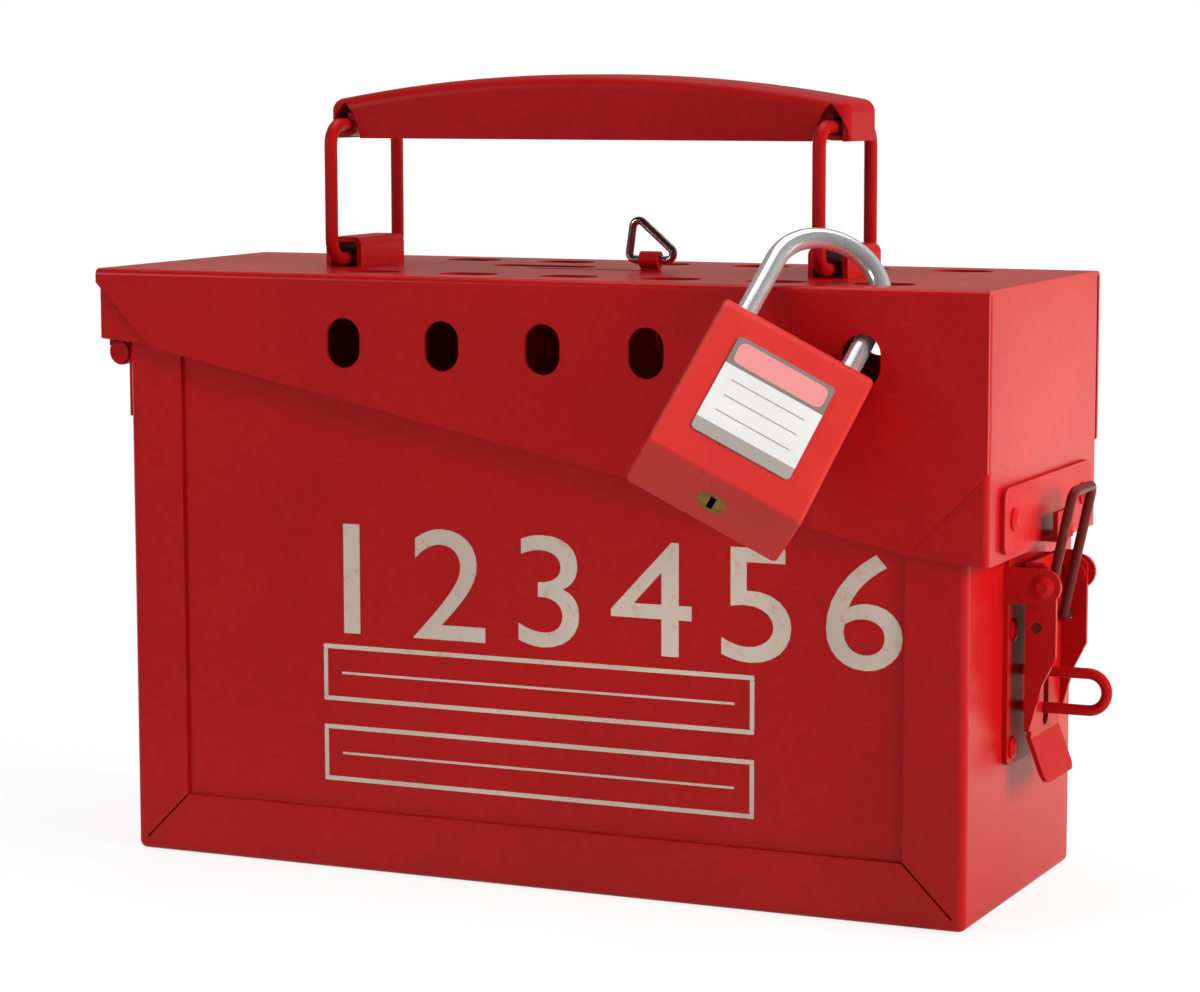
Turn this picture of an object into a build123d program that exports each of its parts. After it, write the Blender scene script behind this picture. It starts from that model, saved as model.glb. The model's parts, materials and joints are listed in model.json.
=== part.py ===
from build123d import *
import os
from math import degrees, sqrt

os.makedirs("parts", exist_ok=True)

# Steel group lockout box with an end-hinged lid, millimetres.
# X runs along the long side, Y from front to back, Z up.
# The origin is the middle of the underside of the box.

# Box
BOX_LENGTH = 220.0
BOX_DEPTH = 82.0
BOX_HEIGHT = 145.0
SHEET = 1.0
BEND = 2.0
FLANGE = 15.0
MITRE_GAP = 0.5
PANEL_SIDE_GAP = 2.2
PANEL_BOTTOM = 2.0

# Lid
LID_LEFT = -117.9
LID_RIGHT = 115.1
LID_DEPTH = 86.6
LID_TOP = 147.0
LID_BEND = 1.6
LEFT_END_LOW = 129.6
RIGHT_END_LOW = 84.7
SKIRT_LEFT = (-102.0, 127.6)
SKIRT_RIGHT = (96.0, 86.9)
LEFT_FLANGE = 22.0
RIGHT_FLANGE = 20.0

# Padlock holes in the skirts and the slots above them
HOLE_COUNT = 6
HOLE_PITCH = 26.6
FIRST_HOLE = -48.0
HOLE_Z = 130.5
HOLE_WIDTH = 9.2
HOLE_HEIGHT = 12.1
SLOT_LENGTH = 15.0
SLOT_WIDTH = 10.0
SLOT_FROM_FACE = 15.0
NOTCH_WIDTH = 13.0
NOTCH_BOTTOM = 121.0

# Hinge
HINGE_X = -113.6
HINGE_Z = 126.0
HINGE_LENGTH = 78.0
KNUCKLES = 5
KNUCKLE_GAP = 0.3
KNUCKLE_R = 3.3
HINGE_PIN_R = 2.0
PIN_RUNNING = 0.05
LEAF = 1.2
BODY_LEAF_LOW = 110.0
LID_LEAF_HIGH = 144.0

# Handle
LOOP_SPACING = 129.6
LOOP_PIVOT_Z = 149.0
LOOP_TOP_Z = 182.4
LOOP_HALF_WIDTH = 17.6
LOOP_WIRE_R = 1.6
LOOP_CORNER_R = 5.0
GRIP_HALF_WIDTH = 10.5
GRIP_HALF_LENGTH = 69.3
GRIP_LOW = 179.0
GRIP_END_HIGH = 188.4
GRIP_CROWN = 194.8
GRIP_SHEET = 1.2
GRIP_ARCH_HALF = 4.4
GRIP_ARCH_HIGH = 188.0
CURL_HALF_WIDTH = 8.6
SADDLE_WIDTH = 10.0
SADDLE_HEIGHT = 7.4
SADDLE_LENGTH = 23.0
SADDLE_SHEET = 1.3
SADDLE_TAB = 10.0
SADDLE_FOOT = 3.5

# Key slot, its sliding shutter and the wire pull
KEY_SLOT_X = -19.0
KEY_SLOT_Y = 9.0
KEY_SLOT_LENGTH = 28.0
KEY_SLOT_WIDTH = 8.0
SHUTTER_LEFT = -3.5
SHUTTER_RIGHT = 28.0
SHUTTER_FRONT = -4.2
SHUTTER_BACK = 15.8
SHUTTER_TRAVEL = 30.0
SHUTTER_GAP = 0.4
GUIDE_LIP = 4.0
GUIDE_FOOT = 5.4
LUG_X = 14.3
LUG_LENGTH = 5.0
LUG_SLIT_WIDTH = 3.0
PULL_WIRE_R = 1.0
PULL_AXIS_Z = 149.7
PULL_LEFT = 8.4
PULL_RIGHT = 23.0
PULL_HEIGHT = 11.0

# Latch
LATCH_PIVOT = (119.5, 77.0)
BAIL_PIVOT = (117.6, 67.0)
BAIL_TIP = (124.4, 98.6)
BAIL_WIRE_R = 1.2
BAIL_HALF_WIDTH = 8.0
LATCH_BASE_HALF = 14.6
LATCH_BASE_LOW = 34.0
LATCH_BASE_HIGH = 84.0
LATCH_SHEET = 1.2
EAR_R = 4.2
LEVER_HALF = 13.0
LEVER_WEB_X = 114.8
LEVER_FLANGE_X = 122.2
LEVER_HIGH = 82.3
LEVER_BEND_Z = 60.0
LEVER_LOW = 42.5
FINGER_BEND_Z = 40.5
FINGER_LOW = 30.0
FINGER_FLARE = 4.0
FINGER_HALF = 11.0
LEVER_SLOT_Z = 49.9
STAPLE_WIRE_R = 1.3
STAPLE_LOW_Z = 46.1
STAPLE_HIGH_Z = 54.9
STAPLE_REACH = 126.5
KEEPER_HALF = 34.0
KEEPER_LOW = 86.5
KEEPER_HIGH = 101.8
HOOK_HALF = 6.2
HOOK_REACH = 4.0
HOOK_HIGH = 93.5

# Hanging padlock: the leg axis leans back through the hole, the width axis falls to the right
LEG_AXIS = Vector(0.125, 0.732, 0.670).normalized()
WIDTH_HINT = Vector(0.8205, 0.3011, -0.4863)
WIDTH_AXIS = (WIDTH_HINT - LEG_AXIS * WIDTH_HINT.dot(LEG_AXIS)).normalized()
LEG_CROSSING = Vector(84.0, -42.7, 132.1)
LEG_HALF_SPACING = 13.3
LEG_BELOW_CROSSING = 9.2
LEG_ABOVE_CROSSING = 11.8
SHACKLE_R = 2.4
SHACKLE_BORE_R = 2.45
HEEL_DEPTH = 26.0
TOE_DEPTH = 10.0
LOCK_WIDTH = 38.0
LOCK_HEIGHT = 45.0
LOCK_THICKNESS = 19.0
LOCK_TOP_R = 4.0
LOCK_EDGE_R = 1.2
LABEL_WIDTH = 24.4
LABEL_HEIGHT = 27.4
LABEL_FROM_TOP = 9.3
LABEL_SHEET = 0.4
PLUG_R = 3.5
PLUG_LENGTH = 20.0
KEYWAY_WIDTH = 1.4
KEYWAY_HEIGHT = 4.6

# Rivets
RIVET_R = 1.5
RIVET_HEAD_R = 2.7
RIVET_HEAD_H = 1.1
RIVET_TAIL_R = 2.3
RIVET_TAIL_H = 0.8

HOLE_XS = [FIRST_HOLE + HOLE_PITCH * i for i in range(HOLE_COUNT)]
SKIRT_Y = LID_DEPTH / 2
LID_UNDER = LID_TOP - SHEET
BODY_END = BOX_LENGTH / 2


def save(part, name):
    part.label = name
    export_step(part, f"parts/{name}.step")


def make_rivet(grip):
    """A button-head rivet whose head sits on the XY plane and whose shank goes down through the grip."""
    with BuildPart() as rivet:
        with BuildSketch(Plane.XZ):
            with BuildLine():
                Polyline(
                    (0, RIVET_HEAD_H),
                    (RIVET_HEAD_R / 2, RIVET_HEAD_H),
                    (RIVET_HEAD_R, RIVET_HEAD_H / 3),
                    (RIVET_HEAD_R, 0),
                    (RIVET_R, 0),
                    (RIVET_R, -grip),
                    (RIVET_TAIL_R, -grip),
                    (RIVET_TAIL_R, -grip - RIVET_TAIL_H),
                    (0, -grip - RIVET_TAIL_H),
                    (0, RIVET_HEAD_H),
                )
            make_face()
        revolve(axis=Axis.Z)
    return rivet.part


def make_wire(edges, radius):
    """A round wire along lines and arcs: each line is extruded and each arc is revolved."""
    with BuildPart() as wire:
        for edge in edges:
            with BuildSketch(Plane(origin=edge @ 0, z_dir=edge % 0)):
                Circle(radius)
            if edge.geom_type == GeomType.LINE:
                extrude(amount=edge.length)
            else:
                spoke = (edge @ 0) - edge.arc_center
                turn = Axis(edge.arc_center, spoke.cross(edge % 0))
                revolve(axis=turn, revolution_arc=degrees(edge.length / edge.radius))
    return wire.part


def make_mirrored_wire(points, radius, plane, corner):
    """Half a wire along a filleted path in a plane, and its mirror image behind the middle."""
    with BuildLine(plane) as path:
        FilletPolyline(*points, radius=corner)
    with BuildPart() as wire:
        add(make_wire(path.edges(), radius))
        mirror(about=Plane.XZ)
    return wire.part


# Box: one folded strip with flanges on the front and the back, closed by two panels

HINGE_RIVET_Z = 116.0
HINGE_RIVET_YS = (-27.0, 0.0, 27.0)
BASE_RIVETS = [(-10.5, 38.0), (10.5, 38.0), (-10.5, 66.0), (10.5, 66.0)]
STAPLE_ZS = (STAPLE_LOW_Z, STAPLE_HIGH_Z)
BOTTOM_BEND = 1.8
SLIT_START = 3.0

with BuildPart() as body_wrap:
    with BuildSketch():
        RectangleRounded(BOX_LENGTH, BOX_DEPTH, BEND)
    extrude(amount=BOX_HEIGHT)
    fillet(body_wrap.faces().sort_by(Axis.Z)[0].edges(), radius=BOTTOM_BEND)
    offset(amount=-SHEET, openings=body_wrap.faces().sort_by(Axis.Z)[-1])
    with BuildSketch(Plane.XZ):
        with Locations((0, (BOX_HEIGHT + FLANGE) / 2)):
            Rectangle(BOX_LENGTH - 2 * FLANGE, BOX_HEIGHT - FLANGE)
    extrude(amount=BOX_DEPTH, both=True, mode=Mode.SUBTRACT)
    with BuildSketch(Plane.XZ):
        slit_end = FLANGE + MITRE_GAP
        slit_middle = (SLIT_START + slit_end) / 2
        slit_length = (slit_end - SLIT_START) * sqrt(2)
        for side in (-1, 1):
            with Locations((side * (BODY_END - slit_middle), slit_middle)):
                Rectangle(slit_length, MITRE_GAP, rotation=-45 * side)
    extrude(amount=BOX_DEPTH, both=True, mode=Mode.SUBTRACT)
    with BuildSketch(Plane.YZ.offset(BODY_END)):
        with Locations(*BASE_RIVETS):
            Circle(RIVET_R)
        with Locations(*[(0, z) for z in STAPLE_ZS]):
            Circle(STAPLE_WIRE_R)
    extrude(amount=-2 * SHEET, mode=Mode.SUBTRACT)
    with BuildSketch(Plane.YZ.offset(-BODY_END)):
        with Locations(*[(y, HINGE_RIVET_Z) for y in HINGE_RIVET_YS]):
            Circle(RIVET_R)
    extrude(amount=2 * SHEET, mode=Mode.SUBTRACT)
save(body_wrap.part, "body_wrap")


def make_panel(side):
    """The panel behind the flanges of one face, notched behind each padlock hole."""
    notch_centre = NOTCH_BOTTOM + NOTCH_WIDTH / 2
    with BuildPart() as panel:
        with BuildSketch(Plane.XZ.offset(-side * (BOX_DEPTH / 2 - 1.5 * SHEET))):
            with Locations((0, (BOX_HEIGHT + PANEL_BOTTOM) / 2)):
                Rectangle(BOX_LENGTH - 2 * PANEL_SIDE_GAP, BOX_HEIGHT - PANEL_BOTTOM)
            for x in HOLE_XS:
                with Locations((x, notch_centre)):
                    Circle(NOTCH_WIDTH / 2, mode=Mode.SUBTRACT)
                with Locations((x, notch_centre + NOTCH_WIDTH)):
                    Rectangle(NOTCH_WIDTH, 2 * NOTCH_WIDTH, mode=Mode.SUBTRACT)
        extrude(amount=SHEET / 2, both=True)
    return panel.part


save(make_panel(-1), "front_panel")
save(make_panel(1), "back_panel")

# Hinge: five knuckles in turn on the two leaves, one pin

KNUCKLE_PITCH = HINGE_LENGTH / KNUCKLES
RELIEF = KNUCKLE_R + KNUCKLE_GAP
LID_HINGE_RIVET_Z = 137.5


def make_leaf(face_x, edge_z, own, bore_r):
    """A hinge leaf: a plate from the pin to its free edge, with its own share of the knuckles."""
    low, high = sorted((edge_z, HINGE_Z))
    with BuildPart() as leaf:
        with BuildSketch(Plane.XZ):
            with Locations((face_x + LEAF / 2, (low + high) / 2)):
                Rectangle(LEAF, high - low)
        extrude(amount=(HINGE_LENGTH - KNUCKLE_GAP) / 2, both=True)
        for index in range(KNUCKLES):
            middle = (index - (KNUCKLES - 1) / 2) * KNUCKLE_PITCH
            plane = Plane.XZ.offset(-middle)
            if index % 2 == own:
                with BuildSketch(plane):
                    with Locations((HINGE_X, HINGE_Z)):
                        Circle(KNUCKLE_R)
                extrude(amount=(KNUCKLE_PITCH - KNUCKLE_GAP) / 2, both=True)
            else:
                with BuildSketch(plane):
                    with Locations((HINGE_X, HINGE_Z)):
                        Circle(RELIEF)
                extrude(amount=(KNUCKLE_PITCH + KNUCKLE_GAP) / 2, both=True, mode=Mode.SUBTRACT)
        with BuildSketch(Plane.XZ):
            with Locations((HINGE_X, HINGE_Z)):
                Circle(bore_r)
        extrude(amount=HINGE_LENGTH, both=True, mode=Mode.SUBTRACT)
        with BuildSketch(Plane.YZ.offset(face_x)):
            rivet_z = HINGE_RIVET_Z if own == 0 else LID_HINGE_RIVET_Z
            with Locations(*[(y, rivet_z) for y in HINGE_RIVET_YS]):
                Circle(RIVET_R)
        extrude(amount=2 * LEAF, mode=Mode.SUBTRACT)
    return leaf.part


BODY_LEAF_X = -BODY_END - LEAF
LID_LEAF_X = LID_LEFT + SHEET
PIN_HEAD = 0.8
PIN_HEAD_R = 2.7

save(make_leaf(BODY_LEAF_X, BODY_LEAF_LOW, 0, HINGE_PIN_R), "body_hinge_leaf")
save(make_leaf(LID_LEAF_X, LID_LEAF_HIGH, 1, HINGE_PIN_R + PIN_RUNNING), "lid_hinge_leaf")

with BuildPart() as hinge_pin:
    with BuildSketch(Plane.XZ):
        with Locations((HINGE_X, HINGE_Z)):
            Circle(HINGE_PIN_R)
    extrude(amount=HINGE_LENGTH / 2, both=True)
    for end in (-1, 1):
        with BuildSketch(Plane.XZ.offset(end * (HINGE_LENGTH / 2 - KNUCKLE_GAP / 2))):
            with Locations((HINGE_X, HINGE_Z)):
                Circle(PIN_HEAD_R)
        extrude(amount=end * (PIN_HEAD + KNUCKLE_GAP / 2))
save(hinge_pin.part, "hinge_pin")

leaf_rivet = make_rivet(LEAF + SHEET)

with BuildPart() as body_hinge_rivets:
    for y in HINGE_RIVET_YS:
        with Locations(Plane(origin=(BODY_LEAF_X, y, HINGE_RIVET_Z), z_dir=(-1, 0, 0))):
            add(leaf_rivet)
save(body_hinge_rivets.part, "body_hinge_rivets")

with BuildPart() as lid_hinge_rivets:
    for y in HINGE_RIVET_YS:
        with Locations(Plane(origin=(LID_LEFT, y, LID_HINGE_RIVET_Z), z_dir=(-1, 0, 0))):
            add(leaf_rivet)
save(lid_hinge_rivets.part, "lid_hinge_rivets")

# Lid: a folded cover with sloping skirts, closed by a short end and a deep end

SADDLE_XS = (-LOOP_SPACING / 2, LOOP_SPACING / 2)
TAB_X = (SADDLE_WIDTH - SADDLE_SHEET) / 2
TAB_CLEARANCE = 0.2
SLOT_Y = SKIRT_Y - SLOT_FROM_FACE
LUG_SLIT_LEFT = LUG_X - LUG_LENGTH / 2 - SHUTTER_TRAVEL - 0.5
LUG_SLIT_RIGHT = LUG_X + LUG_LENGTH / 2 + 0.5
BELOW_SKIRTS = 70.0


def cover_profile(half_width, top, corner):
    """The cross-section of a block with rounded top edges, down to below the skirts."""
    with BuildSketch(Plane.YZ.offset(LID_LEFT)) as section:
        with Locations((0, (top + BELOW_SKIRTS) / 2)):
            Rectangle(2 * half_width, top - BELOW_SKIRTS)
        fillet(section.vertices().group_by(Axis.Y)[-1], radius=corner)
    return section.sketch


with BuildPart() as lid_cover:
    add(cover_profile(SKIRT_Y, LID_TOP, LID_BEND))
    extrude(amount=LID_RIGHT - LID_LEFT, dir=(1, 0, 0))
    add(cover_profile(SKIRT_Y - SHEET, LID_UNDER, LID_BEND - SHEET))
    extrude(amount=LID_RIGHT - LID_LEFT, dir=(1, 0, 0), mode=Mode.SUBTRACT)
    # The skirts slope down to the right and are cut at 45 degrees at both lower corners
    with BuildSketch(Plane.XZ):
        with BuildLine():
            Polyline(
                (LID_LEFT, SKIRT_LEFT[1] + SKIRT_LEFT[0] - LID_LEFT),
                SKIRT_LEFT,
                SKIRT_RIGHT,
                (LID_RIGHT, SKIRT_RIGHT[1] + LID_RIGHT - SKIRT_RIGHT[0]),
                (LID_RIGHT, BELOW_SKIRTS),
                (LID_LEFT, BELOW_SKIRTS),
                close=True,
            )
        make_face()
    extrude(amount=LID_DEPTH, both=True, mode=Mode.SUBTRACT)
    with BuildSketch(Plane.XZ):
        with Locations(*[(x, HOLE_Z) for x in HOLE_XS]):
            SlotOverall(HOLE_HEIGHT, HOLE_WIDTH, rotation=90)
    extrude(amount=LID_DEPTH, both=True, mode=Mode.SUBTRACT)
    with BuildSketch(Plane.XY.offset(LID_TOP)):
        with Locations(*[(x, side * SLOT_Y) for x in HOLE_XS for side in (-1, 1)]):
            SlotOverall(SLOT_LENGTH, SLOT_WIDTH)
        with Locations((KEY_SLOT_X, KEY_SLOT_Y)):
            SlotOverall(KEY_SLOT_LENGTH, KEY_SLOT_WIDTH)
        with Locations(((LUG_SLIT_LEFT + LUG_SLIT_RIGHT) / 2, 0)):
            Rectangle(LUG_SLIT_RIGHT - LUG_SLIT_LEFT, LUG_SLIT_WIDTH)
        for x in SADDLE_XS:
            with Locations((x - TAB_X, 0), (x + TAB_X, 0)):
                Rectangle(SADDLE_SHEET + TAB_CLEARANCE, SADDLE_TAB + TAB_CLEARANCE)
    extrude(amount=-2 * SHEET, mode=Mode.SUBTRACT)
save(lid_cover.part, "lid_cover")


def make_lid_end(outer_x, inner_x, low_outer, low_inner, rivets):
    """An end wall with two flanges that lie behind the skirts, its lower edge slightly sloped."""
    middle = (outer_x + inner_x) / 2
    length = abs(inner_x - outer_x)
    inward = 1 if inner_x > outer_x else -1
    width = LID_DEPTH - 2 * SHEET
    with BuildPart() as end:
        with BuildSketch(Plane.XY.offset(BELOW_SKIRTS)) as plan:
            with Locations((middle, 0)):
                Rectangle(length, width)
            fillet(plan.vertices().filter_by_position(Axis.X, outer_x - 0.1, outer_x + 0.1), LID_BEND)
        extrude(amount=LID_UNDER - BELOW_SKIRTS)
        with BuildSketch(Plane.XY.offset(BELOW_SKIRTS)) as inside:
            with Locations((middle + inward * SHEET, 0)):
                Rectangle(length, width - 2 * SHEET)
            wall_x = outer_x + inward * SHEET
            corners = inside.vertices().filter_by_position(Axis.X, wall_x - 0.1, wall_x + 0.1)
            fillet(corners, LID_BEND - SHEET)
        extrude(amount=LID_UNDER - BELOW_SKIRTS, mode=Mode.SUBTRACT)
        add(cover_profile(SKIRT_Y - SHEET, LID_UNDER, LID_BEND - SHEET))
        extrude(amount=LID_RIGHT - LID_LEFT, dir=(1, 0, 0), mode=Mode.INTERSECT)
        with BuildSketch(Plane.XZ):
            with BuildLine():
                Polyline(
                    (outer_x, low_outer),
                    (inner_x, low_inner),
                    (inner_x, BELOW_SKIRTS),
                    (outer_x, BELOW_SKIRTS),
                    close=True,
                )
            make_face()
        extrude(amount=LID_DEPTH, both=True, mode=Mode.SUBTRACT)
        with BuildSketch(Plane.YZ.offset(outer_x)):
            with Locations(*rivets):
                Circle(RIVET_R)
        extrude(amount=inward * 2 * SHEET, mode=Mode.SUBTRACT)
    return end.part


KEEPER_RIVET_Y = 27.0
KEEPER_RIVET_Z = (KEEPER_LOW + KEEPER_HIGH) / 2
KEEPER_RIVETS = [(-KEEPER_RIVET_Y, KEEPER_RIVET_Z), (KEEPER_RIVET_Y, KEEPER_RIVET_Z)]
LID_HINGE_RIVETS = [(y, LID_HINGE_RIVET_Z) for y in HINGE_RIVET_YS]
FLANGE_RISE = 2.0

save(
    make_lid_end(
        LID_LEFT,
        LID_LEFT + LEFT_FLANGE,
        LEFT_END_LOW,
        LEFT_END_LOW - FLANGE_RISE,
        LID_HINGE_RIVETS,
    ),
    "lid_left_end",
)
save(
    make_lid_end(
        LID_RIGHT,
        LID_RIGHT - RIGHT_FLANGE,
        RIGHT_END_LOW,
        RIGHT_END_LOW + FLANGE_RISE,
        KEEPER_RIVETS,
    ),
    "lid_right_end",
)

# Handle: a stamped grip on two wire loops, each held to the lid by a saddle

GRIP_EDGE_R = 3.2
CURL_RUNNING = 0.1
CURL_OPEN_PIVOT = 0.4
ARCH_FROM_Y = 8.9
SADDLE_CORNER_R = 2.2
FOOT_SHEET = 1.2

for name, x in zip(("handle_saddle_left", "handle_saddle_right"), SADDLE_XS):
    with BuildPart() as saddle:
        with BuildSketch(Plane.XZ) as hoop:
            with Locations((x, LID_TOP + SADDLE_HEIGHT / 2)):
                Rectangle(SADDLE_WIDTH, SADDLE_HEIGHT)
            fillet(hoop.vertices().group_by(Axis.Y)[-1], SADDLE_CORNER_R)
        extrude(amount=SADDLE_LENGTH / 2, both=True)
        with BuildSketch(Plane.XZ) as tunnel:
            with Locations((x, LID_TOP + (SADDLE_HEIGHT - SADDLE_SHEET) / 2)):
                Rectangle(SADDLE_WIDTH - 2 * SADDLE_SHEET, SADDLE_HEIGHT - SADDLE_SHEET)
            fillet(tunnel.vertices().group_by(Axis.Y)[-1], SADDLE_CORNER_R - SADDLE_SHEET)
        extrude(amount=SADDLE_LENGTH / 2, both=True, mode=Mode.SUBTRACT)
        # Two tabs go through the lid and are folded outwards under it
        with BuildSketch(Plane.XZ):
            for side in (-1, 1):
                foot_x = x + side * (SADDLE_WIDTH + SADDLE_FOOT - SADDLE_SHEET) / 2
                with Locations((x + side * TAB_X, LID_TOP - (SHEET + FOOT_SHEET) / 2)):
                    Rectangle(SADDLE_SHEET, SHEET + FOOT_SHEET)
                with Locations((foot_x, LID_UNDER - FOOT_SHEET / 2)):
                    Rectangle(SADDLE_FOOT + SADDLE_SHEET, FOOT_SHEET)
        extrude(amount=SADDLE_TAB / 2, both=True)
    save(saddle.part, name)

half_loop = [
    (0, LOOP_PIVOT_Z),
    (LOOP_HALF_WIDTH, LOOP_PIVOT_Z),
    (LOOP_HALF_WIDTH, LOOP_TOP_Z),
    (0, LOOP_TOP_Z),
]
for name, x in zip(("handle_loop_left", "handle_loop_right"), SADDLE_XS):
    save(make_mirrored_wire(half_loop, LOOP_WIRE_R, Plane.YZ.offset(x), LOOP_CORNER_R), name)

with BuildPart() as handle_grip:
    with BuildSketch(Plane.XZ):
        with BuildLine():
            ThreePointArc(
                (-GRIP_HALF_LENGTH, GRIP_END_HIGH),
                (0, GRIP_CROWN),
                (GRIP_HALF_LENGTH, GRIP_END_HIGH),
            )
            Polyline(
                (GRIP_HALF_LENGTH, GRIP_END_HIGH),
                (GRIP_HALF_LENGTH, GRIP_LOW),
                (-GRIP_HALF_LENGTH, GRIP_LOW),
                (-GRIP_HALF_LENGTH, GRIP_END_HIGH),
            )
        make_face()
    extrude(amount=GRIP_HALF_WIDTH, both=True)
    open_side = handle_grip.faces().sort_by(Axis.Z)[0]
    fillet(handle_grip.edges() - open_side.edges(), radius=GRIP_EDGE_R)
    offset(amount=-GRIP_SHEET, openings=handle_grip.faces().sort_by(Axis.Z)[0])
    # A pointed arch in each side wall lets the wire in
    for side in (-1, 1):
        with BuildSketch(Plane.XZ.offset(side * ARCH_FROM_Y)):
            for x in SADDLE_XS:
                with BuildLine():
                    rise = GRIP_ARCH_HIGH - GRIP_LOW
                    shoulder = (0.75 * GRIP_ARCH_HALF, GRIP_LOW + 0.5 * rise)
                    for half in (-1, 1):
                        ThreePointArc(
                            (x + half * GRIP_ARCH_HALF, GRIP_LOW),
                            (x + half * shoulder[0], shoulder[1]),
                            (x, GRIP_ARCH_HIGH),
                        )
                    Line((x - GRIP_ARCH_HALF, GRIP_LOW), (x + GRIP_ARCH_HALF, GRIP_LOW))
                make_face()
        extrude(amount=side * GRIP_HALF_WIDTH, mode=Mode.SUBTRACT)
    # Each end wall runs in under the wire and is curled up round it
    with BuildSketch(Plane.XZ):
        for x, clearance in zip(SADDLE_XS, (CURL_RUNNING, CURL_OPEN_PIVOT)):
            outward = 1 if x > 0 else -1
            bore = LOOP_WIRE_R + clearance
            run = GRIP_HALF_LENGTH - abs(x)
            with Locations((x, LOOP_TOP_Z)):
                Circle(bore + GRIP_SHEET)
            with Locations((x + outward * run / 2, LOOP_TOP_Z)):
                Rectangle(run, 3 * run, mode=Mode.SUBTRACT)
            with Locations((x + outward * run / 2, LOOP_TOP_Z - bore - GRIP_SHEET / 2)):
                Rectangle(run, GRIP_SHEET)
            with Locations((x, LOOP_TOP_Z)):
                Circle(bore, mode=Mode.SUBTRACT)
    extrude(amount=CURL_HALF_WIDTH, both=True)
save(handle_grip.part, "handle_grip")

# Key slot: a shutter that slides between two guides under the lid, and its wire pull

SHUTTER_TOP = LID_UNDER - SHUTTER_GAP
SHUTTER_MIDDLE_Y = (SHUTTER_FRONT + SHUTTER_BACK) / 2
GUIDE_WEB_Y = (SHUTTER_BACK - SHUTTER_FRONT) / 2 + SHUTTER_GAP + SHEET
GUIDE_LEFT = SHUTTER_LEFT - SHUTTER_TRAVEL - 2.0
GUIDE_RIGHT = SHUTTER_RIGHT + 2.0
GUIDE_LOW = SHUTTER_TOP - SHEET - SHUTTER_GAP - SHEET
LUG_SHEET = 1.2
EYE_R = PULL_WIRE_R + 1.1
PULL_CORNER_R = 1.6
EYE_CLEARANCE = 0.08

with BuildPart() as shutter_guides:
    for side in (-1, 1):
        with BuildSketch(Plane.YZ.offset(GUIDE_LEFT)):
            web_y = SHUTTER_MIDDLE_Y + side * (GUIDE_WEB_Y - SHEET / 2)
            with Locations((web_y, (LID_UNDER + GUIDE_LOW) / 2)):
                Rectangle(SHEET, LID_UNDER - GUIDE_LOW)
            with Locations((web_y + side * (GUIDE_FOOT - SHEET) / 2, LID_UNDER - SHEET / 2)):
                Rectangle(GUIDE_FOOT, SHEET)
            with Locations((web_y - side * (GUIDE_LIP - SHEET) / 2, GUIDE_LOW + SHEET / 2)):
                Rectangle(GUIDE_LIP, SHEET)
        extrude(amount=GUIDE_RIGHT - GUIDE_LEFT)
save(shutter_guides.part, "shutter_guides")

with BuildPart() as key_shutter:
    with BuildSketch(Plane.XY.offset(SHUTTER_TOP)) as plate:
        with Locations(((SHUTTER_LEFT + SHUTTER_RIGHT) / 2, SHUTTER_MIDDLE_Y)):
            Rectangle(SHUTTER_RIGHT - SHUTTER_LEFT, SHUTTER_BACK - SHUTTER_FRONT)
        fillet(plate.vertices(), radius=2 * SHEET)
    extrude(amount=-SHEET)
    # The lug rises through the slit and is curled into an eye round the pull
    with BuildSketch(Plane.YZ.offset(LUG_X)):
        with Locations((0, (SHUTTER_TOP + PULL_AXIS_Z) / 2)):
            Rectangle(LUG_SHEET, PULL_AXIS_Z - SHUTTER_TOP)
        with Locations((0, PULL_AXIS_Z)):
            Circle(EYE_R)
            Circle(PULL_WIRE_R + EYE_CLEARANCE, mode=Mode.SUBTRACT)
    extrude(amount=LUG_LENGTH / 2, both=True)
save(key_shutter.part, "key_shutter")

with BuildLine(Plane.XZ) as triangle:
    middle_x = (PULL_LEFT + PULL_RIGHT) / 2
    FilletPolyline(
        (middle_x, PULL_AXIS_Z),
        (PULL_RIGHT, PULL_AXIS_Z),
        (PULL_LEFT + PULL_CORNER_R, PULL_AXIS_Z + PULL_HEIGHT),
        (PULL_LEFT, PULL_AXIS_Z),
        (middle_x - LUG_SHEET, PULL_AXIS_Z),
        radius=PULL_CORNER_R,
    )
save(make_wire(triangle.edges(), PULL_WIRE_R), "pull_ring")

# Latch: base with ears, channel lever on two pivots, wire bail, keeper with a hook on the lid

EAR_Y = LATCH_BASE_HALF - LATCH_SHEET
FLANGE_Y = LEVER_HALF - LATCH_SHEET
LEVER_FACE_X = LEVER_WEB_X + LATCH_SHEET
PIVOT_RUNNING = 0.06
BAIL_RUNNING = 0.1
LEVER_CORNER = 3.2
FINGER_CORNER = 2.4
BASE_CORNER = 3.0
LEVER_SLOT = (15.8, 4.8)

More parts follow.
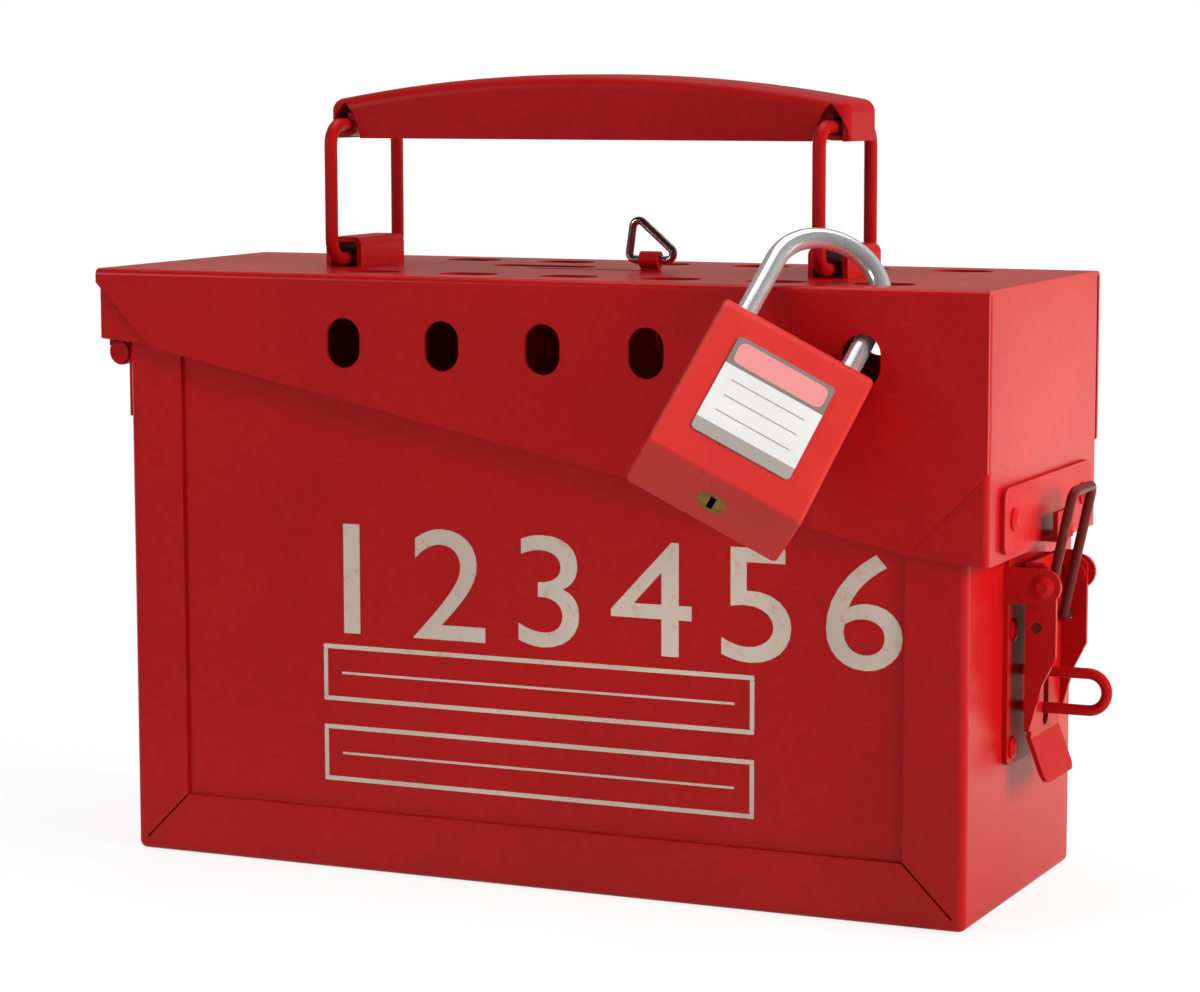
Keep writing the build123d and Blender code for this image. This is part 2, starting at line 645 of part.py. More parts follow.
with BuildPart() as latch_base:
    with BuildSketch(Plane.YZ.offset(BODY_END)) as base_plate:
        with Locations((0, (LATCH_BASE_LOW + LATCH_BASE_HIGH) / 2)):
            Rectangle(2 * LATCH_BASE_HALF, LATCH_BASE_HIGH - LATCH_BASE_LOW)
        fillet(base_plate.vertices(), radius=BASE_CORNER)
    extrude(amount=LATCH_SHEET)
    with BuildSketch(Plane.XZ.offset(EAR_Y)):
        with Locations(((BODY_END + LATCH_PIVOT[0]) / 2, LATCH_PIVOT[1])):
            Rectangle(LATCH_PIVOT[0] - BODY_END, 2 * EAR_R)
        with Locations(LATCH_PIVOT):
            Circle(EAR_R)
            Circle(RIVET_R, mode=Mode.SUBTRACT)
    extrude(amount=LATCH_SHEET)
    mirror(about=Plane.XZ)
    with BuildSketch(Plane.YZ.offset(BODY_END)):
        with Locations(*BASE_RIVETS):
            Circle(RIVET_R)
        with Locations(*[(0, z) for z in STAPLE_ZS]):
            Circle(STAPLE_WIRE_R)
    extrude(amount=LATCH_SHEET, mode=Mode.SUBTRACT)
save(latch_base.part, "latch_base")

base_rivet = make_rivet(LATCH_SHEET + SHEET)
with BuildPart() as latch_base_rivets:
    for y, z in BASE_RIVETS:
        with Locations(Plane(origin=(BODY_END + LATCH_SHEET, y, z), z_dir=(1, 0, 0))):
            add(base_rivet)
save(latch_base_rivets.part, "latch_base_rivets")

pivot_rivet = make_rivet(2 * LATCH_SHEET + (EAR_Y - LEVER_HALF))
with BuildPart() as latch_pivots:
    for side in (-1, 1):
        head = (LATCH_PIVOT[0], side * LATCH_BASE_HALF, LATCH_PIVOT[1])
        with Locations(Plane(origin=head, z_dir=(0, side, 0))):
            add(pivot_rivet)
save(latch_pivots.part, "latch_pivots")

tail_x = BODY_END - SHEET
bow = (STAPLE_HIGH_Z - STAPLE_LOW_Z) / 2
with BuildLine(Plane.XZ) as staple_path:
    Line((tail_x, STAPLE_LOW_Z), (STAPLE_REACH, STAPLE_LOW_Z))
    ThreePointArc(
        (STAPLE_REACH, STAPLE_LOW_Z),
        (STAPLE_REACH + bow, STAPLE_LOW_Z + bow),
        (STAPLE_REACH, STAPLE_HIGH_Z),
    )
    Line((STAPLE_REACH, STAPLE_HIGH_Z), (tail_x, STAPLE_HIGH_Z))

with BuildPart() as padlock_staple:
    add(make_wire(staple_path.edges(), STAPLE_WIRE_R))
    with BuildSketch(Plane.YZ.offset(tail_x)):
        with Locations(*[(0, z) for z in STAPLE_ZS]):
            Circle(RIVET_TAIL_R)
    extrude(amount=-RIVET_TAIL_H)
save(padlock_staple.part, "padlock_staple")

with BuildPart() as latch_lever:
    with BuildSketch(Plane.YZ.offset(LEVER_WEB_X)):
        with Locations((0, (LEVER_HIGH + LEVER_LOW) / 2)):
            Rectangle(2 * LEVER_HALF, LEVER_HIGH - LEVER_LOW)
    extrude(amount=LATCH_SHEET)
    # The finger tab flares outwards below the web
    with BuildSketch(Plane.XZ.offset(FINGER_HALF)):
        with BuildLine():
            Polyline(
                (LEVER_WEB_X, LEVER_LOW),
                (LEVER_WEB_X, FINGER_BEND_Z),
                (LEVER_WEB_X + FINGER_FLARE, FINGER_LOW),
                (LEVER_FACE_X + FINGER_FLARE, FINGER_LOW),
                (LEVER_FACE_X, FINGER_BEND_Z),
                (LEVER_FACE_X, LEVER_LOW),
                close=True,
            )
        make_face()
    extrude(amount=-2 * FINGER_HALF)
    fillet(latch_lever.edges().filter_by(Axis.X).group_by(Axis.Z)[0], radius=FINGER_CORNER)
    with BuildSketch(Plane.YZ.offset(LEVER_WEB_X)):
        with Locations((0, LEVER_SLOT_Z)):
            SlotOverall(*LEVER_SLOT, rotation=90)
    extrude(amount=LATCH_SHEET, mode=Mode.SUBTRACT)
    # Side flanges turned outwards, tapering down to the tab
    with BuildSketch(Plane.XZ.offset(FLANGE_Y)):
        with BuildLine():
            Polyline(
                (LEVER_WEB_X, LEVER_LOW),
                (LEVER_FACE_X, LEVER_LOW),
                (LEVER_FLANGE_X - LEVER_CORNER, LEVER_BEND_Z - 2 * LEVER_CORNER),
                (LEVER_FLANGE_X, LEVER_BEND_Z),
                (LEVER_FLANGE_X, LEVER_HIGH - LEVER_CORNER),
                (LEVER_FLANGE_X - LEVER_CORNER, LEVER_HIGH),
                (LEVER_WEB_X, LEVER_HIGH),
                close=True,
            )
        make_face()
        with Locations(LATCH_PIVOT):
            Circle(RIVET_R + PIVOT_RUNNING, mode=Mode.SUBTRACT)
        with Locations(BAIL_PIVOT):
            Circle(BAIL_WIRE_R + BAIL_RUNNING, mode=Mode.SUBTRACT)
    extrude(amount=LATCH_SHEET)
    mirror(about=Plane.XZ)
save(latch_lever.part, "latch_lever")

bail_along = Vector(BAIL_TIP[0] - BAIL_PIVOT[0], 0, BAIL_TIP[1] - BAIL_PIVOT[1])
bail_plane = Plane(
    origin=(BAIL_PIVOT[0], 0, BAIL_PIVOT[1]),
    x_dir=(0, 1, 0),
    z_dir=(bail_along.Z, 0, -bail_along.X),
)
half_bail = [
    (0, bail_along.length),
    (BAIL_HALF_WIDTH, bail_along.length),
    (BAIL_HALF_WIDTH, 0),
    (LEVER_HALF, 0),
]
save(make_mirrored_wire(half_bail, BAIL_WIRE_R, bail_plane, 1.8 * BAIL_WIRE_R), "latch_bail")

with BuildPart() as latch_keeper:
    with BuildSketch(Plane.YZ.offset(LID_RIGHT)) as keeper_plate:
        with Locations((0, KEEPER_RIVET_Z)):
            Rectangle(2 * KEEPER_HALF, KEEPER_HIGH - KEEPER_LOW)
        fillet(keeper_plate.vertices(), radius=BASE_CORNER)
        with Locations(*KEEPER_RIVETS):
            Circle(RIVET_R, mode=Mode.SUBTRACT)
    extrude(amount=LATCH_SHEET)
    # A hook that opens upwards takes the bail
    with BuildSketch(Plane.XZ):
        hook_x = LID_RIGHT + LATCH_SHEET
        with BuildLine():
            Polyline(
                (LID_RIGHT, KEEPER_LOW),
                (hook_x + HOOK_REACH, KEEPER_LOW),
                (hook_x + HOOK_REACH, HOOK_HIGH),
                (hook_x + HOOK_REACH - LATCH_SHEET, HOOK_HIGH),
                (hook_x + HOOK_REACH - LATCH_SHEET, KEEPER_LOW + LATCH_SHEET),
                (LID_RIGHT, KEEPER_LOW + LATCH_SHEET),
                close=True,
            )
        make_face()
    extrude(amount=HOOK_HALF, both=True)
save(latch_keeper.part, "latch_keeper")

with BuildPart() as keeper_rivets:
    for y, z in KEEPER_RIVETS:
        with Locations(Plane(origin=(LID_RIGHT + LATCH_SHEET, y, z), z_dir=(1, 0, 0))):
            add(base_rivet)
save(keeper_rivets.part, "keeper_rivets")

# Padlock: shackle, body, label plate on its front, key plug in its lower end

lock_top = LEG_CROSSING - LEG_AXIS * LEG_BELOW_CROSSING - WIDTH_AXIS * LEG_HALF_SPACING
lock_plane = Plane(origin=lock_top, x_dir=WIDTH_AXIS, z_dir=LEG_AXIS)
BACK_AXIS = LEG_AXIS.cross(WIDTH_AXIS)
side_plane = Plane(origin=lock_top, x_dir=BACK_AXIS, z_dir=WIDTH_AXIS)
face_plane = Plane(
    origin=lock_top - BACK_AXIS * (LOCK_THICKNESS / 2),
    x_dir=WIDTH_AXIS,
    z_dir=BACK_AXIS * -1,
)
shackle_plane = Plane(origin=lock_top, x_dir=WIDTH_AXIS, z_dir=BACK_AXIS * -1)
ARC_BASE = LEG_BELOW_CROSSING + LEG_ABOVE_CROSSING

with BuildPart() as padlock_body:
    with BuildSketch(side_plane) as side_view:
        with Locations((0, -LOCK_HEIGHT / 2)):
            Rectangle(LOCK_THICKNESS, LOCK_HEIGHT)
        fillet(side_view.vertices().group_by(Axis.Y)[-1], radius=LOCK_TOP_R)
        fillet(side_view.vertices().group_by(Axis.Y)[0], radius=LOCK_EDGE_R)
    extrude(amount=LOCK_WIDTH / 2, both=True)
    ends = padlock_body.faces().filter_by(Plane(origin=(0, 0, 0), z_dir=WIDTH_AXIS))
    fillet(ends.edges(), radius=LOCK_EDGE_R)
    for x, depth in ((-LEG_HALF_SPACING, TOE_DEPTH), (LEG_HALF_SPACING, HEEL_DEPTH)):
        with BuildSketch(lock_plane):
            with Locations((x, 0)):
                Circle(SHACKLE_BORE_R)
        extrude(amount=-depth, mode=Mode.SUBTRACT)
    with BuildSketch(lock_plane.offset(-LOCK_HEIGHT)):
        Circle(PLUG_R + PIN_RUNNING)
    extrude(amount=PLUG_LENGTH, mode=Mode.SUBTRACT)
save(padlock_body.part, "padlock_body")

with BuildPart() as padlock_label:
    with BuildSketch(face_plane):
        with Locations((0, -LABEL_FROM_TOP - LABEL_HEIGHT / 2)):
            RectangleRounded(LABEL_WIDTH, LABEL_HEIGHT, LOCK_EDGE_R)
    extrude(amount=LABEL_SHEET)
save(padlock_label.part, "padlock_label")

with BuildPart() as padlock_plug:
    with BuildSketch(lock_plane.offset(-LOCK_HEIGHT)):
        Circle(PLUG_R)
    extrude(amount=PLUG_LENGTH - KNUCKLE_GAP)
    with BuildSketch(lock_plane.offset(-LOCK_HEIGHT)):
        Rectangle(KEYWAY_WIDTH, KEYWAY_HEIGHT)
    extrude(amount=PLUG_LENGTH * 0.6, mode=Mode.SUBTRACT)
save(padlock_plug.part, "padlock_plug")

toe = (-LEG_HALF_SPACING, KNUCKLE_GAP - TOE_DEPTH)
heel = (LEG_HALF_SPACING, KNUCKLE_GAP - HEEL_DEPTH)
with BuildLine(shackle_plane) as shackle_path:
    Line(toe, (-LEG_HALF_SPACING, ARC_BASE))
    ThreePointArc(
        (-LEG_HALF_SPACING, ARC_BASE),
        (0, ARC_BASE + LEG_HALF_SPACING),
        (LEG_HALF_SPACING, ARC_BASE),
    )
    Line((LEG_HALF_SPACING, ARC_BASE), heel)
save(make_wire(shackle_path.edges(), SHACKLE_R), "padlock_shackle")
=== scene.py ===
import json
from math import cos, pi, radians, sin

import bmesh
import bpy
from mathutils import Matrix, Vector


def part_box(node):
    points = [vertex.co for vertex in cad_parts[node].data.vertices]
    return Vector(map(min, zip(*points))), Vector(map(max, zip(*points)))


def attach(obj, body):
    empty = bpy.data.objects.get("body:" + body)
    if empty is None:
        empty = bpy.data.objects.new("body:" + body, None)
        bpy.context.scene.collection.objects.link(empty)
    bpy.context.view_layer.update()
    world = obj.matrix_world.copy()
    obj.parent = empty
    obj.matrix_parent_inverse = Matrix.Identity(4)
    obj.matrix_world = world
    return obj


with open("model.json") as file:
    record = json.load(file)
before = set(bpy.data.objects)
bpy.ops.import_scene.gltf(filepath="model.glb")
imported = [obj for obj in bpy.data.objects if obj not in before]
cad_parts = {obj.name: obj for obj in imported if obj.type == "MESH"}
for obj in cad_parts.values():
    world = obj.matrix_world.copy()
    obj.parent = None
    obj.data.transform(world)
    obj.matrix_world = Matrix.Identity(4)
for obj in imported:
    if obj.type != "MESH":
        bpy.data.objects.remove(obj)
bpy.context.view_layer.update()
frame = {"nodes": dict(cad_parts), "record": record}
nodes = frame["nodes"]
MM = 0.001


def place_object(name, data):
    obj = bpy.data.objects.new(name, data)
    bpy.context.scene.collection.objects.link(obj)
    return obj


# Camera

FOCAL_PX = 3459.0
IMAGE_WIDTH = 1200.0
SENSOR_WIDTH = 36.0
CAMERA_AT = Vector((353.2, -776.8, 195.8)) * MM
CAMERA_YAW = 24.42
CAMERA_PITCH = 7.02
CAMERA_ROLL = -0.11

camera_data = bpy.data.cameras.new("camera")
camera_data.sensor_fit = "HORIZONTAL"
camera_data.sensor_width = SENSOR_WIDTH
camera_data.lens = FOCAL_PX / IMAGE_WIDTH * SENSOR_WIDTH
camera_data.clip_start = 0.05
camera_data.clip_end = 30.0
camera = place_object("camera", camera_data)
camera.location = CAMERA_AT
camera.rotation_euler = (radians(90.0 - CAMERA_PITCH), 0.0, radians(CAMERA_YAW))
camera.rotation_euler.rotate_axis("Z", radians(CAMERA_ROLL))
bpy.context.scene.camera = camera
bpy.context.scene.view_settings.view_transform = "Standard"

# Shader nodes


def node_tree(owner):
    owner.use_nodes = True
    tree = owner.node_tree
    tree.nodes.clear()
    return tree


def add_node(tree, kind, inputs=None, **settings):
    """A node whose inputs are set to plain values or linked to sockets."""
    node = tree.nodes.new(kind)
    for key, value in settings.items():
        setattr(node, key, value)
    for key, value in (inputs or {}).items():
        if isinstance(value, bpy.types.NodeSocket):
            tree.links.new(value, node.inputs[key])
        else:
            node.inputs[key].default_value = value
    return node


def math_node(tree, operation, a, b=0.0, clamp=False):
    node = add_node(tree, "ShaderNodeMath", {0: a, 1: b}, operation=operation, use_clamp=clamp)
    return node.outputs[0]


def vector_node(tree, operation, a, b, output):
    node = add_node(tree, "ShaderNodeVectorMath", {0: a, 1: b}, operation=operation)
    return node.outputs[output]


def ranged(tree, value, low, high, out_low=0.0, out_high=1.0, smooth=False):
    """A value carried over from one range to another, held at its ends."""
    ends = {"From Min": low, "From Max": high, "To Min": out_low, "To Max": out_high}
    node = add_node(
        tree,
        "ShaderNodeMapRange",
        {"Value": value, **ends},
        interpolation_type="SMOOTHSTEP" if smooth else "LINEAR",
    )
    return node.outputs[0]


def number_mix(tree, factor, a, b):
    return add_node(tree, "ShaderNodeMix", {0: factor, 2: a, 3: b}, data_type="FLOAT").outputs[0]


def blended(tree, factor, a, b, blend_type="MIX"):
    """A colour between a and b, which are colours or sockets."""
    values = {0: factor}
    for key, colour in ((6, a), (7, b)):
        values[key] = colour if isinstance(colour, bpy.types.NodeSocket) else (*colour, 1.0)
    node = add_node(tree, "ShaderNodeMix", values, data_type="RGBA", blend_type=blend_type)
    return node.outputs[2]


def ray_kinds(tree):
    """Whether a ray comes from the camera or through glass, and whether it is a mirrored one."""
    path = add_node(tree, "ShaderNodeLightPath").outputs
    direct = math_node(tree, "ADD", path["Is Camera Ray"], path["Is Transmission Ray"])
    return direct, path["Is Glossy Ray"]


def coordinates(tree, kind):
    return add_node(tree, "ShaderNodeTexCoord").outputs[kind]


# World: white to the camera; to mirrors it is warm, dim before the box and brighter behind it

WHITE = (1.0, 1.0, 1.0)
WARM = (1.0, 0.94, 0.84)
SKY_LIGHT = 0.24
SKY_MIRRORED = (0.02, 0.30)
SKY_TURN = (-0.2, 0.6)

world = bpy.data.worlds.new("studio")
bpy.context.scene.world = world
tree = node_tree(world)
direct, mirrored = ray_kinds(tree)
split = add_node(tree, "ShaderNodeSeparateXYZ", {0: coordinates(tree, "Generated")})
reflected = ranged(tree, split.outputs["Y"], *SKY_TURN, *SKY_MIRRORED, smooth=True)
unseen = number_mix(tree, mirrored, SKY_LIGHT, reflected)
strength = number_mix(tree, direct, unseen, 1.0)
tint = blended(tree, mirrored, WHITE, WARM)
background = add_node(tree, "ShaderNodeBackground", {"Color": tint, "Strength": strength})
add_node(tree, "ShaderNodeOutputWorld", {"Surface": background.outputs[0]})

# Lamps

BOX_MIDDLE = Vector((0.0, 0.0, 0.08))
BOX_UPPER_PART = Vector((0.0, 0.0, 0.1))


def add_area(name, location, target, size, watts, in_mirrors):
    data = bpy.data.lights.new(name, "AREA")
    data.shape = "RECTANGLE"
    data.size, data.size_y = size
    data.energy = watts
    lamp = place_object(name, data)
    lamp.location = location
    lamp.rotation_euler = (target - Vector(location)).to_track_quat("-Z", "Y").to_euler()
    lamp.visible_glossy = in_mirrors


add_area("right_softbox", (1.35, -0.10, 0.55), BOX_MIDDLE, (1.0, 0.7), 28.0, False)
add_area("left_softbox", (-1.00, -1.15, 0.60), BOX_MIDDLE, (0.3, 0.3), 4.0, True)
add_area("high_softbox", (-0.30, -0.50, 1.15), BOX_MIDDLE, (0.25, 0.25), 4.6, False)
add_area("top_softbox", (0.0, 0.25, 1.3), BOX_UPPER_PART, (1.1, 0.9), 6.0, True)
add_area("back_softbox", (-0.7, 1.3, 0.6), BOX_UPPER_PART, (0.8, 0.6), 6.0, False)

# Floor: pale near the box and white further out; to mirrors as the world is, but brighter behind

FLOOR_HALF = 3.0
FLOOR_DROP = 0.0002
FLOOR_PALE = (0.92, 0.92, 0.92, 1.0)
FLOOR_WHITE_SHARE = (0.80, 1.0)
FLOOR_WHITE_REACH = (0.16, 0.42)
FLOOR_MIRRORED = (0.03, 1.2)
FLOOR_TURN = (-0.25, 0.25)

floor_mesh = bpy.data.meshes.new("floor")
shape = bmesh.new()
bmesh.ops.create_grid(shape, x_segments=2, y_segments=2, size=FLOOR_HALF)
shape.to_mesh(floor_mesh)
shape.free()
floor = place_object("floor", floor_mesh)
floor.location.z = -FLOOR_DROP
floor_material = bpy.data.materials.new("floor")
tree = node_tree(floor_material)
direct, mirrored = ray_kinds(tree)
place = coordinates(tree, "Object")
split = add_node(tree, "ShaderNodeSeparateXYZ", {0: place})
distance = vector_node(tree, "LENGTH", place, (0.0, 0.0, 0.0), "Value")
pale = add_node(tree, "ShaderNodeBsdfDiffuse", {"Color": FLOOR_PALE})
whitened = ranged(tree, distance, *FLOOR_WHITE_REACH, *FLOOR_WHITE_SHARE, smooth=True)
behind = ranged(tree, split.outputs["Y"], *FLOOR_TURN, *FLOOR_MIRRORED, smooth=True)
strength = number_mix(tree, mirrored, 1.0, behind)
tint = blended(tree, mirrored, WHITE, WARM)
glow = add_node(tree, "ShaderNodeEmission", {"Color": tint, "Strength": strength})
seen_share = math_node(tree, "MULTIPLY", direct, whitened)
share = math_node(tree, "ADD", seen_share, mirrored, clamp=True)
surfaces = {0: share, 1: pale.outputs[0], 2: glow.outputs[0]}
mixed = add_node(tree, "ShaderNodeMixShader", surfaces)
add_node(tree, "ShaderNodeOutputMaterial", {"Surface": mixed.outputs[0]})
floor_mesh.materials.append(floor_material)

# Materials


def start_material(name, **values):
    """A material, its node tree and its shader, with plain numbers set on the shader's sockets."""
    material = bpy.data.materials.new(name)
    tree = node_tree(material)
    shader = add_node(tree, "ShaderNodeBsdfPrincipled")
    for key, value in values.items():
        shader.inputs[key.replace("_", " ")].default_value = value
    add_node(tree, "ShaderNodeOutputMaterial", {"Surface": shader.outputs[0]})
    return material, tree, shader


def noise(tree, place, scale, detail=3.0, rough=0.5, stretch=None):
    if stretch:
        mapping = add_node(tree, "ShaderNodeMapping", {"Vector": place, "Scale": stretch})
        place = mapping.outputs[0]
    values = {"Vector": place, "Scale": scale, "Detail": detail, "Roughness": rough}
    return add_node(tree, "ShaderNodeTexNoise", values).outputs["Fac"]


def add_relief(tree, shader, height, strength, distance):
    values = {"Height": height, "Strength": strength, "Distance": distance}
    relief = add_node(tree, "ShaderNodeBump", values)
    tree.links.new(relief.outputs[0], shader.inputs["Normal"])


def powder_coat(name, colour, deep, worn, roughness, specular=0.25, peel=0.06):
    """Baked paint: slight orange peel, uneven depth of colour, dust and rubbed spots."""
    material, tree, shader = start_material(name, Specular_IOR_Level=specular)
    place = coordinates(tree, "Object")
    broad = noise(tree, place, scale=14.0, detail=2.0)
    fine = noise(tree, place, scale=420.0, detail=2.0, rough=0.6)
    spots = noise(tree, place, scale=55.0, detail=6.0, rough=0.7)
    depth = blended(tree, ranged(tree, broad, 0.35, 0.65), colour, deep)
    rubbed = ranged(tree, spots, 0.62, 0.78, out_high=0.35)
    tinted = blended(tree, rubbed, depth, worn)
    level = ranged(tree, fine, 0.3, 0.7, 0.94, 1.06)
    speckled = add_node(tree, "ShaderNodeCombineColor", {0: level, 1: level, 2: level})
    final = blended(tree, 1.0, tinted, speckled.outputs[0], blend_type="MULTIPLY")
    tree.links.new(final, shader.inputs["Base Color"])
    uneven = math_node(tree, "MULTIPLY", broad, 0.08)
    rough = math_node(tree, "ADD", uneven, roughness - 0.04)
    tree.links.new(rough, shader.inputs["Roughness"])
    grain = noise(tree, place, scale=620.0, detail=2.0)
    add_relief(tree, shader, grain, strength=peel, distance=0.0004)
    return material


def metal(name, colour, dark, roughness, grain, bump=0.03, metallic=1.0):
    """Bare metal with fine drawn or turned marks."""
    material, tree, shader = start_material(name, Metallic=metallic)
    place = coordinates(tree, "Object")
    marks = noise(tree, place, scale=160.0, detail=4.0, rough=0.6, stretch=grain)
    tone = blended(tree, ranged(tree, marks, 0.4, 0.75), colour, dark)
    tree.links.new(tone, shader.inputs["Base Color"])
    rough = ranged(tree, marks, 0.3, 0.7, roughness * 0.75, roughness * 1.25)
    tree.links.new(rough, shader.inputs["Roughness"])
    add_relief(tree, shader, marks, strength=bump, distance=0.0002)
    return material


def plastic(name, colour, deep, roughness, specular):
    """Moulded plastic with a faint grain and handling marks."""
    material, tree, shader = start_material(name, Specular_IOR_Level=specular)
    place = coordinates(tree, "Object")
    broad = noise(tree, place, scale=40.0, detail=3.0)
    tone = blended(tree, ranged(tree, broad, 0.35, 0.7), colour, deep)
    tree.links.new(tone, shader.inputs["Base Color"])
    rough = ranged(tree, broad, 0.3, 0.7, roughness - 0.05, roughness + 0.06)
    tree.links.new(rough, shader.inputs["Roughness"])
    grain = noise(tree, place, scale=1400.0, detail=2.0)
    add_relief(tree, shader, grain, strength=0.06, distance=0.0002)
    return material


RED = (0.39, 0.004, 0.005)
DEEP_RED = (0.34, 0.003, 0.004)
RUBBED_RED = (0.42, 0.010, 0.010)
FITTING_RED = (0.42, 0.006, 0.007)
# The handle's reds are the box red made darker: painted shade on the grip, which catches the top
# light.
SHADED_HANDLE_RED = (0.33, 0.004, 0.005)
SHADED_HANDLE_DEEP_RED = (0.29, 0.003, 0.004)
# The bail's dark browns are partly the wire's own dark colour and partly painted shade from the
# shadowed latch.
BAIL_BROWN_AND_SHADE = (0.12, 0.010, 0.010)
BAIL_DEEP_BROWN_AND_SHADE = (0.06, 0.008, 0.008)
BAIL_RUBBED = (0.22, 0.10, 0.09)
ZINC_GREY = (0.58, 0.56, 0.52)
ZINC_DARK = (0.26, 0.25, 0.23)
CHROME_WHITE = (0.93, 0.93, 0.94)
CHROME_GREY = (0.82, 0.82, 0.84)
BRASS_YELLOW = (0.60, 0.38, 0.12)
BRASS_BROWN = (0.30, 0.17, 0.05)
LOCK_RED = (0.44, 0.021, 0.017)
LOCK_DEEP_RED = (0.40, 0.018, 0.014)
EVEN_GRAIN = (1.0, 1.0, 1.0)
LONG_GRAIN = (1.0, 1.0, 0.3)

box_paint = powder_coat("box_paint", RED, DEEP_RED, RUBBED_RED, 0.30)
fitting_paint = powder_coat(
    "fitting_paint", FITTING_RED, DEEP_RED, RUBBED_RED, 0.34, specular=0.12
)
# The handle's paint takes the darker reds: painted shade on the grip.
handle_paint = powder_coat(
    "handle_paint", SHADED_HANDLE_RED, SHADED_HANDLE_DEEP_RED, RUBBED_RED, 0.38, specular=0.14, peel=0.09
)
# The bail's paint is partly its own dark colour and partly painted shade.
bail_paint = powder_coat("bail_paint", BAIL_BROWN_AND_SHADE, BAIL_DEEP_BROWN_AND_SHADE, BAIL_RUBBED, 0.38)
zinc = metal("zinc_wire", ZINC_GREY, ZINC_DARK, 0.24, EVEN_GRAIN)
chrome = metal(
    "shackle_chrome", CHROME_WHITE, CHROME_GREY, 0.17, LONG_GRAIN, bump=0.01, metallic=0.8
)
brass = metal("lock_brass", BRASS_YELLOW, BRASS_BROWN, 0.32, EVEN_GRAIN)
lock_shell = plastic("lock_shell", LOCK_RED, LOCK_DEEP_RED, 0.38, 0.3)

# Padlock label: a pink field in a dark head, a ruled white field and a grey foot

LEG_AXIS = Vector((0.125, 0.732, 0.670)).normalized()
WIDTH_HINT = Vector((0.8205, 0.3011, -0.4863))
WIDTH_AXIS = (WIDTH_HINT - LEG_AXIS * WIDTH_HINT.dot(LEG_AXIS)).normalized()
HEAD_LOW = 0.0057
HEAD_FIELD_MIDDLE = 0.0097
HEAD_FIELD_STRAIGHT = (0.0093, 0.0012)
HEAD_FIELD_CORNER = 0.0018
FOOT_HIGH = -0.0102
RULED_HALF_LENGTH = 0.0092
RULED_HALF_WIDTH = 0.0002
RULED_HEIGHTS = (0.0022, -0.0022, -0.0066)
PAPER_WHITE = (0.53, 0.52, 0.505)
PAPER_SOILED = (0.48, 0.47, 0.455)
HEAD_DARK = (0.16, 0.13, 0.12)
HEAD_PINK = (0.54, 0.19, 0.19)
FOOT_GREY = (0.25, 0.225, 0.20)
RULED_GREY = (0.25, 0.24, 0.24)


def within(tree, value, low, high):
    above = math_node(tree, "GREATER_THAN", value, low)
    below = math_node(tree, "LESS_THAN", value, high)
    return math_node(tree, "MULTIPLY", above, below)


def square_beyond(tree, value, middle, half):
    """The square of how far a value lies outside a range, zero within it."""
    distance = math_node(tree, "ABSOLUTE", math_node(tree, "SUBTRACT", value, middle))
    outside = math_node(tree, "MAXIMUM", math_node(tree, "SUBTRACT", distance, half), 0.0)
    return math_node(tree, "POWER", outside, 2.0)


low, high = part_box("padlock_label")
label_middle = (low + high) / 2
label_material, tree, label_shader = start_material(
    "lock_label", Roughness=0.38, Coat_Weight=0.15, Coat_Roughness=0.2
)
place = coordinates(tree, "Object")
offset = vector_node(tree, "SUBTRACT", place, label_middle, 0)
across = vector_node(tree, "DOT_PRODUCT", offset, WIDTH_AXIS, "Value")
upward = vector_node(tree, "DOT_PRODUCT", offset, LEG_AXIS, "Value")

soiled = ranged(tree, noise(tree, place, scale=90.0), 0.3, 0.7)
paper = blended(tree, soiled, PAPER_WHITE, PAPER_SOILED)
white = within(tree, upward, FOOT_HIGH, HEAD_LOW)
foot = math_node(tree, "LESS_THAN", upward, FOOT_HIGH)
beside = square_beyond(tree, across, 0.0, HEAD_FIELD_STRAIGHT[0])
above = square_beyond(tree, upward, HEAD_FIELD_MIDDLE, HEAD_FIELD_STRAIGHT[1])
from_field = math_node(tree, "SQRT", math_node(tree, "ADD", beside, above))
head = math_node(tree, "LESS_THAN", from_field, HEAD_FIELD_CORNER)
colour = blended(tree, white, HEAD_DARK, paper)
colour = blended(tree, head, colour, HEAD_PINK)
colour = blended(tree, foot, colour, FOOT_GREY)
ruled_length = within(tree, across, -RULED_HALF_LENGTH, RULED_HALF_LENGTH)
for height in RULED_HEIGHTS:
    line = within(tree, upward, height - RULED_HALF_WIDTH, height + RULED_HALF_WIDTH)
    ruled = math_node(tree, "MULTIPLY", ruled_length, line)
    colour = blended(tree, ruled, colour, RULED_GREY)
tree.links.new(colour, label_shader.inputs["Base Color"])

# Finish of every piece, by its material slot

FINISHES = {
    "box_paint": box_paint,
    "red_paint": fitting_paint,
    "handle_paint": handle_paint,
    "latch_wire": bail_paint,
    "plated_steel": zinc,
    "shackle_steel": chrome,
    "lock_shell": lock_shell,
    "lock_label": label_material,
    "lock_brass": brass,
}
for part in frame["record"]["subparts"]:
    obj = nodes[part["node"]]
    obj.data.materials.clear()
    obj.data.materials.append(FINISHES[part["material_slot"]])

# Print on the front: a plain number under each padlock hole, and two ruled strips to write on

INK_PALE = (0.56, 0.47, 0.38)
INK_FADED = (0.46, 0.38, 0.31)
INK_WORN = (0.40, 0.14, 0.12)
INK_THICKNESS = 0.00006
PANEL_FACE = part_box("front_panel")[0].y
HOLE_COUNT = 6
FIRST_HOLE = -48.0 * MM
HOLE_PITCH = 26.6 * MM
DIGIT_HEIGHT = 27.0 * MM
DIGIT_MIDDLE = 72.5 * MM
DIGIT_WIDENING = 1.15

